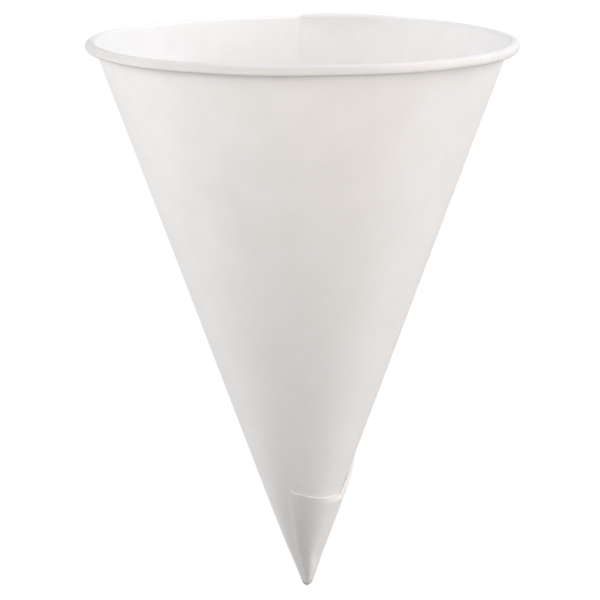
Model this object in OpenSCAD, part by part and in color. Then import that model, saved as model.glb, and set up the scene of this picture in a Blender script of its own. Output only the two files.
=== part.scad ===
// Cone paper cup: one sheet of paper wound into a cone, lapped and glued down one side,
// sealed by a tab wrapped round its pinched tip, and curled outwards into a rolled rim at the mouth.
// It stands mouth down: the rim rests on z = 0 and the tip points up.

/* [Cup] */
// Height from the rim that it stands on to the tip
cup_h = 92.5; // [80:0.5:110]
// Diameter across the outside of the rolled rim
rim_d = 73; // [64:0.5:84]
// Radius of the blunt tip
tip_r = 0.9; // [0.7:0.05:1.4]

/* [Paper] */
// Thickness of the paper
paper_t = 0.2; // [0.15:0.01:0.3]
// Depth that glued layers are pressed into each other
glue_press = 0.02; // [0.01:0.005:0.04]
// Length of the tip that is pinched solid
pinch_h = 5; // [3:0.5:9]

/* [Rolled rim] */
// Diameter of the rolled bead
bead_d = 1.9; // [1.4:0.1:2.6]
// Angle that the paper turns through as it curls
curl_turn = 295; // [270:5:300]

/* [Seam] */
// Width of the lap at the rim
lap_w = 17; // [10:0.5:20]
// Distance from the tip to the line of the sheet's long cut, measured on the flat sheet
cut_s = 9.3; // [8.5:0.1:10.5]
// Nearest that the tab's top edge comes to the tip, along the wall
tab_s = 17; // [16:0.5:20]
// Angle from the tab's corner to its end, round the tip
tab_turn = 103; // [70:1:120]
// Direction in which the hidden inner edge of the sheet leaves the rim
inner_edge_angle = 90; // [0:1:359]

/* [Hidden] */
$fn = 180;

bead_r = bead_d / 2;
bead_x = rim_d / 2 - bead_r;

// The wall is the line that touches the bead on its inner side and, two sheets further out, the tip.
tip_z = cup_h - tip_r;
tip_layers = 2;
centre_drop = tip_z - bead_r;
centre_gap = norm([bead_x, centre_drop]);
half_angle = atan(bead_x / centre_drop) - asin((bead_r + tip_r - tip_layers * paper_t) / centre_gap);

// The paper's thickness measured level, across the slope of the wall, and the spacing of glued layers.
paper_x = paper_t / cos(half_angle);
layer_x = paper_x - glue_press;

// The wall's inner face, carried on: its radius at z = 0 and the height at which it meets the axis.
mouth_r = bead_x - bead_r * cos(half_angle) + bead_r * (1 - sin(half_angle)) * tan(half_angle);
apex_z = mouth_r / tan(half_angle);
wall_s = apex_z / cos(half_angle);

// The sheet is wound anticlockwise as seen from the tip. Its angles count from its inner edge, at 0.
// The long cut leaves the rim just past one full turn, and ends at the tab's corner near the tip.
lap_turn = lap_w / mouth_r * 180 / PI;
cut_turn = 360 + lap_turn;
cut_foot_turn = cut_turn + acos(cut_s / wall_s) / sin(half_angle);
tab_lean = 26;
tab_corner_s = tab_s / cos(tab_lean * sin(half_angle));
tab_corner_turn = cut_foot_turn - acos(cut_s / tab_corner_s) / sin(half_angle);
end_turn = tab_corner_turn + tab_turn;
half_turns = ceil(end_turn / 180);

// The curl's section starts this far up in the wall, so that the two are one.
curl_root = 8;
trim_step = 4;
trim_over = 20;
trim_r = rim_d / 2 + 2 * bead_d;

paper_white = [0.93, 0.92, 0.91];

// Radius of the wall's inner face at height z.
function inner_r(z) = (apex_z - z) * tan(half_angle);

// Distance from the tip, along the wall, of a line that is straight on the flat sheet:
// it grows as one over the cosine of the sheet's own angle from the line's nearest point.
function line_s(nearest, turn) = nearest / cos(turn * sin(half_angle));

// Plan radius at which the sheet is cut off: past the rim, then on the long cut, then on the tab.
function cut_r(turn) =
    turn < cut_turn ? trim_r
    : turn < tab_corner_turn ? min(trim_r, line_s(cut_s, cut_foot_turn - turn) * sin(half_angle))
    : line_s(tab_s, turn - tab_corner_turn - tab_lean) * sin(half_angle);

function plan_point(radius, turn) =
    let (angle = inner_edge_angle + turn)
    [radius * cos(angle), radius * sin(angle)];

// Section through the sheet's wall, from the bead up to the tip.
module wall_section() {
    slope = [-sin(half_angle), cos(half_angle)];
    across = [cos(half_angle), sin(half_angle)];
    foot = [bead_x, bead_r] - bead_r * across;
    wall_l = (tip_z + tip_r * sin(half_angle) - foot.y) / cos(half_angle);
    polygon([
        foot,
        foot + paper_t * across,
        foot + paper_t * across + wall_l * slope,
        foot + wall_l * slope
    ]);
}

// Section through the curl, from the foot of the wall, round under the bead and back to the wall.
module curl_section() {
    open_from = 180 + half_angle + curl_turn;
    open_to = 180 + half_angle + 360 - curl_root;
    open_mid = (open_from + open_to) / 2;
    translate([bead_x, bead_r]) difference() {
        circle(r = bead_r);
        circle(r = bead_r - paper_t);
        polygon([
            [0, 0],
            2 * bead_r * [cos(open_from), sin(open_from)],
            2 * bead_r * [cos(open_mid), sin(open_mid)],
            2 * bead_r * [cos(open_to), sin(open_to)]
        ]);
    }
}

// The winding is a spiral drawn as half circles from two centres in turn.
// Each is half a paper thickness wider than the last.
module spiral_centre(k) {
    shift = k % 2 == 0 ? 0 : layer_x / 2;
    translate(shift * [cos(inner_edge_angle), sin(inner_edge_angle), 0]) children();
}

// Half turn k of the winding, swept from the section given.
module half_turn(k) {
    spiral_centre(k)
        rotate([0, 0, inner_edge_angle + 180 * k])
        rotate_extrude(angle = 180)
        translate([k * layer_x / 2, 0]) children();
}

// Plan of one stretch of the sheet, between two of its angles and inside its cut edges.
module sheet_plan(from, to) {
    steps = ceil((to - from) / trim_step);
    polygon(concat(
        [[0, 0]],
        [for (i = [0 : steps])
            let (turn = from + (to - from) * i / steps)
            plan_point(cut_r(turn), turn)]
    ));
}

// A half turn of the first layer, with its curl.
module first_layer(k) {
    half_turn(k) {
        wall_section();
        curl_section();
    }
}

// A half turn of the second layer, trimmed to the long cut and the tab.
module second_layer(k) {
    intersection() {
        half_turn(k) wall_section();
        linear_extrude(cup_h) sheet_plan(k * 180 - trim_over, min((k + 1) * 180 + trim_over, end_turn));
    }
}

// The tip, where the turns are pinched together into one solid point.
module pinched_tip() {
    foot_z = cup_h - pinch_h;
    first_sheet = 1.04 * paper_x;
    rotate_extrude() {
        polygon([
            [0, foot_z],
            [inner_r(foot_z) + first_sheet, foot_z],
            [inner_r(tip_z) + first_sheet, tip_z],
            [0, tip_z]
        ]);
        intersection() {
            translate([0, tip_z]) circle(r = tip_r);
            translate([0, tip_z - tip_r]) square([tip_r, 2 * tip_r]);
        }
    }
}

module cone_cup() {
    color(paper_white) union() {
        for (k = [0, 1]) first_layer(k);
        for (k = [2 : half_turns - 1]) second_layer(k);
        pinched_tip();
    }
}

cone_cup();
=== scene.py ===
"""A cone paper cup, standing mouth down on its rolled rim.

The photograph shows it mouth up, so the camera is below the rim's plane and upside down."""
import math
from types import SimpleNamespace

import bpy
import numpy as np
from mathutils import Matrix, Vector


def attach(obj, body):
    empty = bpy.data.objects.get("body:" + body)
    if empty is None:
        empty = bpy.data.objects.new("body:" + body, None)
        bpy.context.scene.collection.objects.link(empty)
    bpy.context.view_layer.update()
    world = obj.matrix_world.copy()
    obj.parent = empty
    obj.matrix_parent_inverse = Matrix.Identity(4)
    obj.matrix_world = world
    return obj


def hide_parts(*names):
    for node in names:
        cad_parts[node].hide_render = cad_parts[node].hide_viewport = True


MM = 0.001

# Sizes of the wound sheet, in millimetres and degrees, as in the CAD.
CUP_H = 92.5
RIM_D = 73.0
TIP_R = 0.9
PAPER_T = 0.2
BEAD_R = 0.95
CURL_TURN = 295.0
LAP_W = 17.0
CUT_S = 9.3
TAB_S = 17.0
TAB_TURN = 103.0
TAB_LEAN = 26.0
INNER_EDGE = 90.0

# What winding and handling do to the paper, in millimetres unless it says otherwise.
LAYER_GAP = 0.03  # between wound layers
FLATTENED = 0.8  # share of its thickness that a pressed edge loses
TAB_SLANT = 0.55  # share of its reach from the tip that the tab loses towards its end
TAB_SPRING = 0.55  # how far the tab stands off on its open side
OPEN_SIDE = 92.0  # where that is, in degrees round the axis as the camera sees it
TIP_SHIFT = 0.48  # how far the pinched tip leans to the picture's right
TIP_DRAW = 0.42  # how far the pinch draws the tip out
CREASE = 0.17  # height of the crease down the tip's front, as a share of the radius there

# The sheet's grid: where columns are closest, in degrees, and how near to the axis it starts.
FINE_FROM = 384.5
FINE_TO = 396.0
FIRST_S = 0.02
LEAST_R = 0.01

SHARP_EDGE = math.radians(40)
FLOOR_HALF = 4.0
CUP_MIDDLE = Vector((0, 0, 0.04))

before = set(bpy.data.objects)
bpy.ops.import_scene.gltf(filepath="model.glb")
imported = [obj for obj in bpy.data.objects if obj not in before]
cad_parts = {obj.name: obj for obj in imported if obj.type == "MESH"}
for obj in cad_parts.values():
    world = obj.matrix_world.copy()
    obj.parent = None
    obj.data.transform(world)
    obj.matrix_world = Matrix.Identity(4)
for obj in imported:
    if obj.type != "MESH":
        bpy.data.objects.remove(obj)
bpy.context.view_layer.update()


def linear(code):
    """Linear RGBA of an sRGB colour code such as "F0ECE8"."""
    srgb = [int(code[i : i + 2], 16) / 255 for i in (0, 2, 4)]
    return [c / 12.92 if c <= 0.04045 else ((c + 0.055) / 1.055) ** 2.4 for c in srgb] + [1.0]


def smooth(low, high, x):
    """0 at low, 1 at high, and an S curve between them. Low may be the larger."""
    t = np.clip((x - low) / (high - low), 0, 1)
    return t * t * (3 - 2 * t)


def around(angle, centre):
    """The signed difference of two angles in degrees, from -180 to 180."""
    return (angle - centre + 180) % 360 - 180


def wave(size, count, angle, shift=0.0):
    """A sine wave that comes round that many times in a turn of the angle, in degrees."""
    return size * np.sin(np.radians(count * angle + shift))


def facing(angle, centre, sharpness):
    """A power of the cosine: 1 where the angle is the centre's, 0 from a quarter turn away."""
    return np.clip(np.cos(np.radians(angle - centre)), 0, None) ** sharpness


# Shape

def cone():
    """The sheet's section: the wall's half angle, the bead and the nose, and its lengths.

    The wall is the line that touches the bead on its inner side and, two sheets further out,
    the tip."""
    bead_x = RIM_D / 2 - BEAD_R
    drop = CUP_H - TIP_R - BEAD_R
    nose = TIP_R - 2 * PAPER_T
    half = math.atan(bead_x / drop) - math.asin((BEAD_R + nose) / math.hypot(bead_x, drop))
    across = np.array([math.cos(half), math.sin(half)])
    foot = np.array([bead_x, BEAD_R]) - BEAD_R * across
    apex = foot[1] + foot[0] / math.tan(half)
    nose_z = apex - nose / math.sin(half)
    start = np.array([0, nose_z]) + nose * across
    nose_l = nose * (math.pi / 2 - half)
    wall_l = np.linalg.norm(foot - start)
    curl_l = BEAD_R * math.radians(CURL_TURN)
    return SimpleNamespace(
        half=half,
        bead=(bead_x, BEAD_R),
        nose=nose,
        nose_z=nose_z,
        start=start,
        apex_s=np.linalg.norm(foot - [0, apex]),
        nose_l=nose_l,
        wall_l=wall_l,
        curl_l=curl_l,
        whole=nose_l + wall_l + curl_l,
    )


def section(c, s, out):
    """Radius and height of the sheet at distance s from the tip, moved out along its normal.

    The distance runs along the inner face: first the arc of the nose, then the straight wall,
    then the arc of the curl. The curl's centre is outside the wall, so there the normal points
    to the bead's centre."""
    nose_a = math.pi / 2 - np.clip(s / c.nose, 0, math.pi / 2 - c.half)
    curl_a = math.pi + c.half + np.clip((s - c.nose_l - c.wall_l) / BEAD_R, 0, None)
    along = np.clip(s - c.nose_l, 0, c.wall_l)
    on_nose = s < c.nose_l
    on_curl = s > c.nose_l + c.wall_l
    r = c.start[0] + along * math.sin(c.half) + out * math.cos(c.half)
    z = c.start[1] - along * math.cos(c.half) + out * math.sin(c.half)
    r = np.where(on_nose, (c.nose + out) * np.cos(nose_a), r)
    z = np.where(on_nose, c.nose_z + (c.nose + out) * np.sin(nose_a), z)
    r = np.where(on_curl, c.bead[0] + (BEAD_R - out) * np.cos(curl_a), r)
    z = np.where(on_curl, c.bead[1] + (BEAD_R - out) * np.sin(curl_a), z)
    return r, z


def sheet_edge(c, turn):
    """How far from the tip the sheet reaches at each angle, and the tab's corner and end angles.

    For one turn and the lap it reaches the end of its curl, then the long cut, then the tab's
    top edge. The cut and the top edge are straight on the flat sheet, so their distance from
    the apex is the nearest one over the cosine of the flat angle. The tab's end slants down."""
    flat = math.sin(c.half)
    from_apex = c.apex_s - c.nose_l - c.wall_l
    cut_turn = 360 + math.degrees(LAP_W / (c.apex_s * flat))
    cut_foot = cut_turn + math.degrees(math.acos(CUT_S / c.apex_s)) / flat
    corner_s = TAB_S / math.cos(math.radians(TAB_LEAN) * flat)
    corner = cut_foot - math.degrees(math.acos(CUT_S / corner_s)) / flat
    end = corner + TAB_TURN
    steepest = 1.5  # radians, just short of a right angle
    cut_angle = np.clip(np.radians(cut_foot - turn) * flat, -steepest, steepest)
    cut = CUT_S / np.cos(cut_angle) - from_apex
    tab = TAB_S / np.cos(np.radians(turn - corner - TAB_LEAN) * flat) - from_apex
    length = np.where(turn < corner, np.minimum(cut, c.whole), tab)
    length = np.where(turn < cut_turn - 4, c.whole, length)
    length = length * (1 - TAB_SLANT * smooth(end - 13, end + 2, turn) ** 2)
    return length, corner, end


def sheet_grid(c):
    """The angle of each column of points, their distances from the tip, and the columns' lengths.

    Columns are closest where the long cut leaves the rim, and one meets the tab's corner.
    Rows are closest on the nose and the curl, and are scaled to end on the sheet's edge."""
    _, corner, end = sheet_edge(c, np.zeros(1))
    first_turn = np.linspace(0, FINE_FROM - 0.5, 257)
    rim_end = np.linspace(FINE_FROM, FINE_TO, 47)
    cut_and_tab = np.linspace(FINE_TO + 1.5, end, 113)
    turn = np.concatenate([first_turn, rim_end, cut_and_tab])
    turn[np.argmin(abs(turn - corner))] = corner
    nose = np.linspace(FIRST_S, c.nose_l, 7)[:-1]
    wall = c.nose_l + c.wall_l * np.linspace(0, 1, 67)[:-1] ** 1.15
    curl = c.nose_l + c.wall_l + c.curl_l * np.linspace(0, 1, 30)
    rows = np.concatenate([nose, wall, curl])
    length = sheet_edge(c, turn)[0][:, None]
    return turn[:, None], rows / c.whole * length, length


def layers(w, end):
    """How far out the sheet's inner face lies at each angle, and how thick the paper is there.

    Each turn lies one thickness outside the one before, and climbs onto it along half a cosine
    wave, over the half turn before the inner edge. That edge and the tab's end are pressed flat."""
    past_edge = w % 360
    climb = np.where(past_edge > 180, (1 - np.cos(np.radians(past_edge - 180))) / 2, 0)
    inner_edge = FLATTENED * smooth(9, 0, w)
    tab_end = FLATTENED * smooth(end - 16, end - 2, w)
    spacing = PAPER_T + LAYER_GAP * smooth(end, end - 40, w)
    inner_face = (np.floor(w / 360) + climb) * spacing + PAPER_T * inner_edge
    return inner_face, PAPER_T * (1 - tab_end - inner_edge)


def sideways(w, s, below_edge, seen):
    """Shift to the picture's right: of the tab, but for its turned-in edge, and of the tip."""
    on_tab = smooth(400, 455, w) * smooth(30, 19, s) * smooth(-0.1, 1.0, below_edge)
    at_tip = smooth(8.0, 1.5, s)
    return np.maximum(TAB_SPRING * on_tab * facing(seen, OPEN_SIDE, 2.5), TIP_SHIFT * at_tip)


def dents(c, s, seen):
    """Change of radius: puckers and one crease near the tip, and a slow swell of the wall."""
    h = s / c.whole
    near_tip = smooth(22, 4, s) * smooth(0, 1.5, s)
    pucker = near_tip * (wave(0.05, 5, seen, 40) + wave(0.04, 8, seen, -16 * s))
    cone_r = s * math.sin(c.half)
    crease = CREASE * cone_r * smooth(24, 9, s) * facing(seen, 2, 4)
    swell = h * (wave(0.10, 2, seen, 50) + wave(0.05, 5, seen, 60 * h - 20))
    return pucker + crease + swell * smooth(0.0, 0.3, h)


def lift(c, w, s, seen):
    """Change of height: a rim that stands on its lap and is uneven elsewhere, and a drawn-out tip."""
    lap = 0.16 * np.exp(-((around(seen, 150) / 34) ** 2)) + 0.22 * smooth(36, 18, w)
    tilt = wave(-0.14, 1, seen) + wave(0.09, 1, seen, 90)
    ripple = wave(0.05, 4, seen, 70) + wave(0.035, 9, seen)
    depth = lap + tilt + ripple
    rim = (depth.max() - depth) * smooth(0.55, 1.0, s / c.whole)
    tip = (TIP_DRAW + wave(0.08, 3, seen, 60)) * smooth(6.0, 2.6, s)
    return rim + tip


def paper_greying_and_shade(c, w, s, seen, end):
    """How far the paper is greyed, from 0 to 1, inside and then outside: layer grey and painted shade.

    It lies where further layers lie: inside on the lap and the bead, outside on the lap, the tab
    and the tip. How much is matched to the photograph, and that part is painted shade: most on the
    near side and the left and less on the right, in bands on the bead's top and root, and darkest
    at the tip's end. So a part of the shade is in this tone and stays on the paper in other light."""
    past_wall = s - c.nose_l - c.wall_l
    # Inside: grey on the lap, with painted shade stronger along the top of the wall under the bead.
    lap = smooth(50, 4, w) * (0.13 + 0.35 * smooth(-1.9, -1.4, past_wall))
    # Painted shade by side: most on the near side and the left, none at the back left, less on the
    # right.
    painted_shade_by_side = smooth(-125, -75, seen) * (1 - 0.6 * smooth(2, 45, seen))
    # Painted shade in two bands on the bead, along its top and along its root.
    bead_band_shade = np.maximum(smooth(3.4, 2.4, past_wall), smooth(3.15, 3.5, past_wall))
    bead = smooth(-0.2, 0.5, past_wall) * bead_band_shade
    inside = np.maximum(lap, bead * painted_shade_by_side)
    # Outside: grey where the sheet lies over its first turn, partly layer grey, partly painted shade.
    wound = (w > 360) * smooth(end - 2, end - 30, w)
    # Painted shade over the tip's layers, up to 28 mm from the tip, from the near side to the right.
    tip_layers_and_shade = smooth(28, 9, s) * smooth(-85, -35, seen)
    # Painted shade that darkens the tip's very end.
    tip_end = smooth(1.6, 0.8, s)
    # Less on the right: painted shade.
    outside = 0.8 * np.maximum(wound, tip_layers_and_shade) * (1 - 0.85 * smooth(8, 50, seen))
    return np.concatenate([inside.ravel(), np.maximum(outside, tip_end).ravel()])


def sheet_faces(n, m):
    """Faces of a sheet of n by m points: the inner side, the outer side and the edge all round."""
    ids = np.arange(n * m).reshape(n, m)
    side = np.stack([ids[:-1, :-1], ids[1:, :-1], ids[1:, 1:], ids[:-1, 1:]], -1).reshape(-1, 4)
    edge = np.concatenate([ids[0, :], ids[1:, -1], ids[-1, -2::-1], ids[-2:0:-1, 0]])
    ahead = np.roll(edge, -1)
    strip = np.stack([edge, ahead, ahead + n * m, edge + n * m], -1)
    return np.concatenate([side, side[:, ::-1] + n * m, strip])


def paper_sheet():
    """The cup as one wound sheet with two faces, a paper thickness apart and closed all round.

    Its two parameters are the sheet's angle round the cone and the distance from the tip along
    its section. The third result is how far the paper is greyed at each point, for further layers and
    as painted shade."""
    c = cone()
    turn, s, length = sheet_grid(c)
    end = turn[-1, 0]
    w = np.broadcast_to(turn, s.shape)
    # The direction round the axis as the camera sees it: 0 is nearest, and 90 is on the right.
    seen = around(-90 - (INNER_EDGE + w), 0)
    angle = np.radians(INNER_EDGE + w)
    inner_face, thickness = layers(w, end)
    shift = sideways(w, s, length - s, seen)
    sides = []
    for out in (inner_face, inner_face + thickness):
        r, z = section(c, s, out)
        r = np.maximum(r + dents(c, s, seen), LEAST_R)
        x = r * np.cos(angle) - shift
        y = r * np.sin(angle)
        sides.append(np.stack([x, y, z + lift(c, w, s, seen)], -1).reshape(-1, 3))
    return np.concatenate(sides) * MM, sheet_faces(*s.shape), paper_greying_and_shade(c, w, s, seen, end)


def mesh_object(name, points, polys):
    """A mesh object of four-sided faces, at the origin, smooth-shaded but for its cut edges."""
    mesh = bpy.data.meshes.new(name)
    mesh.vertices.add(len(points))
    mesh.vertices.foreach_set("co", points.ravel())
    mesh.loops.add(polys.size)
    mesh.loops.foreach_set("vertex_index", polys.ravel())
    mesh.polygons.add(len(polys))
    mesh.polygons.foreach_set("loop_start", np.arange(len(polys)) * 4)
    mesh.polygons.foreach_set("use_smooth", np.ones(len(polys), bool))
    mesh.update(calc_edges=True)
    mesh.validate()
    mesh.set_sharp_from_angle(angle=SHARP_EDGE)
    obj = bpy.data.objects.new(name, mesh)
    bpy.context.collection.objects.link(obj)
    return obj


# Materials

def material(name):
    """A new material, with its node tree, its shader and its output node."""
    mat = bpy.data.materials.new(name)
    mat.use_nodes = True
    nodes = mat.node_tree.nodes
    return mat, mat.node_tree, nodes["Principled BSDF"], nodes["Material Output"]


def add(tree, kind, links=(), **values):
    """Adds a node. Values set its properties or named inputs; links join (socket, input) pairs."""
    node = tree.nodes.new("ShaderNode" + kind)
    for key, value in values.items():
        if hasattr(node, key):
            setattr(node, key, value)
        else:
            node.inputs[key.replace("_", " ")].default_value = value
    for socket, place in links:
        tree.links.new(socket, node.inputs[place])
    return node


def bleached_paper():
    """Bleached uncoated paper: a warm white with faint clouds and a fine tooth that dulls it.

    The tooth is drawn coarser than the real one, so that it shows. The colour is multiplied by a grey,
    by the share that the sheet carries: partly for sheets lying on each other, partly painted shade."""
    mat, tree, shader, _ = material("bleached_paper")
    cloud_size, tooth_size, tooth_depth = 7 * MM, 0.9 * MM, 0.12 * MM
    where = add(tree, "TexCoord").outputs["Object"]
    cloud = add(tree, "TexNoise", [(where, "Vector")], Scale=1 / cloud_size, Detail=5.0, Roughness=0.6)
    tint = add(tree, "ValToRGB", [(cloud.outputs["Fac"], "Fac")])
    for stop, position, code in zip(tint.color_ramp.elements, (0.3, 0.7), ("F1F0EF", "F6F5F5")):
        stop.position = position
        stop.color = linear(code)
    grey_and_shade_share = add(tree, "Attribute", attribute_name="layer_grey_and_shade").outputs["Fac"]
    factor, first, second, result = 0, 6, 7, 2  # the mix node's sockets for colours
    links = [(grey_and_shade_share, factor), (tint.outputs["Color"], first)]
    # The paper's colour times a grey, by the share for further layers and painted shade.
    shade = add(tree, "Mix", links, data_type="RGBA", blend_type="MULTIPLY")
    shade.inputs[second].default_value = linear("E9E8E8")
    tree.links.new(shade.outputs[result], shader.inputs["Base Color"])
    tooth = add(tree, "TexNoise", [(where, "Vector")], Scale=1 / tooth_size, Detail=6.0, Roughness=0.65)
    bump = add(tree, "Bump", [(tooth.outputs["Fac"], "Height")], Strength=0.35, Distance=tooth_depth)
    tree.links.new(bump.outputs["Normal"], shader.inputs["Normal"])
    shader.inputs["Roughness"].default_value = 0.72
    shader.inputs["Specular IOR Level"].default_value = 0.3
    return mat


def pale_floor():
    """A matt white table top that takes the cup's shadow and fades into the white background.

    From below it is clear, so that the camera sees through it into the cup's mouth."""
    mat, tree, shader, output = material("pale_floor")
    shader.inputs["Base Color"].default_value = linear("F4F4F4")
    shader.inputs["Roughness"].default_value = 0.9
    shader.inputs["Specular IOR Level"].default_value = 0.0
    where = add(tree, "TexCoord").outputs["Object"]
    far = add(tree, "VectorMath", [(where, 0)], operation="LENGTH")
    fade = add(tree, "MapRange", [(far.outputs["Value"], "Value")], interpolation_type="SMOOTHSTEP")
    fade.inputs["From Min"].default_value = 0.05
    fade.inputs["From Max"].default_value = 0.30
    fade.inputs["To Min"].default_value = 0.45
    white = add(tree, "Emission", Strength=1.0)
    links = [(fade.outputs["Result"], 0), (shader.outputs[0], 1), (white.outputs[0], 2)]
    top = add(tree, "MixShader", links)
    clear = add(tree, "BsdfTransparent")
    below = add(tree, "NewGeometry").outputs["Backfacing"]
    both = add(tree, "MixShader", [(below, 0), (top.outputs[0], 1), (clear.outputs[0], 2)])
    tree.links.new(both.outputs[0], output.inputs["Surface"])
    return mat


# Room

def table_top():
    """A square floor, far wider than the picture. Only camera rays see it, so it lights nothing."""
    corners = FLOOR_HALF * np.array([[-1, -1, 0], [1, -1, 0], [1, 1, 0], [-1, 1, 0]])
    top = mesh_object("floor", corners, np.array([[0, 1, 2, 3]]))
    top.data.materials.append(pale_floor())
    for ray in ("diffuse", "glossy", "transmission", "volume_scatter", "shadow"):
        setattr(top, "visible_" + ray, False)
    return top


def soft_light(name, place, watts, size, colour):
    """A square area light of that size in metres, turned to the middle of the cup."""
    data = bpy.data.lights.new(name, "AREA")
    data.energy = watts
    data.size = size
    data.color = linear(colour)[:3]
    light = bpy.data.objects.new(name, data)
    light.location = place
    light.rotation_mode = "QUATERNION"
    light.rotation_quaternion = (CUP_MIDDLE - Vector(place)).to_track_quat("-Z", "Y")
    bpy.context.collection.objects.link(light)


def white_studio():
    """A world that gives a dim even light, and is plain white where the camera sees it."""
    world = bpy.data.worlds.new("studio")
    world.use_nodes = True
    tree = world.node_tree
    tree.nodes.clear()
    sky = add(tree, "Background", Color=(1, 1, 1, 1), Strength=0.25)
    page = add(tree, "Background", Color=(1, 1, 1, 1), Strength=1.0)
    seen_by = add(tree, "LightPath").outputs["Is Camera Ray"]
    mix = add(tree, "MixShader", [(seen_by, 0), (sky.outputs[0], 1), (page.outputs[0], 2)])
    add(tree, "OutputWorld", [(mix.outputs[0], "Surface")])
    return world


def photo_camera():
    """The photograph's camera, upside down below the rim's plane, so that the tip points down."""
    distance = 1.5
    below = math.radians(8.57)
    roll = math.radians(-0.23)
    aim = Vector((0.00047, 0.0, 0.0443))
    back = Vector((0, -math.cos(below), -math.sin(below)))
    right = Vector((-1, 0, 0))
    up = back.cross(right)
    rolled_right = right * math.cos(roll) + up * math.sin(roll)
    rolled_up = up * math.cos(roll) - right * math.sin(roll)
    turned = Matrix((rolled_right, rolled_up, back)).transposed().to_4x4()
    camera = bpy.data.objects.new("camera", bpy.data.cameras.new("camera"))
    camera.data.lens = 535.6
    camera.data.clip_end = 20
    camera.matrix_world = Matrix.Translation(aim + back * distance) @ turned
    bpy.context.collection.objects.link(camera)
    return camera


# The cup

points, polys, layer_grey_and_shade = paper_sheet()
cup = mesh_object("wound_paper_sheet", points, polys)
# The share of grey at each point, for further layers and for painted shade.
greyed = cup.data.attributes.new("layer_grey_and_shade", "FLOAT", "POINT")
greyed.data.foreach_set("value", layer_grey_and_shade.astype(np.float32))
cup.data.materials.append(bleached_paper())
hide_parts("cone_cup")
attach(cup, "root")

# The scene round it. Left and right are the picture's, and high is on the mouth's side.

floor = table_top()
soft_light("high_front_light", (0.0, -0.18, -0.14), 0.078, 0.10, "FEFBF9")
soft_light("front_light", (0.0, -0.18, -0.035), 0.089, 0.07, "FFF7EF")
soft_light("left_fill", (0.156, -0.09, -0.05), 0.112, 0.10, "FFFBF7")
soft_light("left_softbox", (0.295, 0.052, 0.12), 0.44, 0.16, "FEFDFD")
soft_light("right_fill", (-0.26, -0.15, 0.12), 0.37, 0.16, "FFF9F4")
soft_light("right_softbox", (-0.295, 0.052, -0.12), 0.52, 0.16, "FEFDFD")
soft_light("mouth_light", (0.0, 0.12, -0.30), 0.51, 0.10, "F0F5FF")

scene = bpy.context.scene
scene.world = white_studio()
scene.camera = photo_camera()
scene.view_settings.view_transform = "Standard"
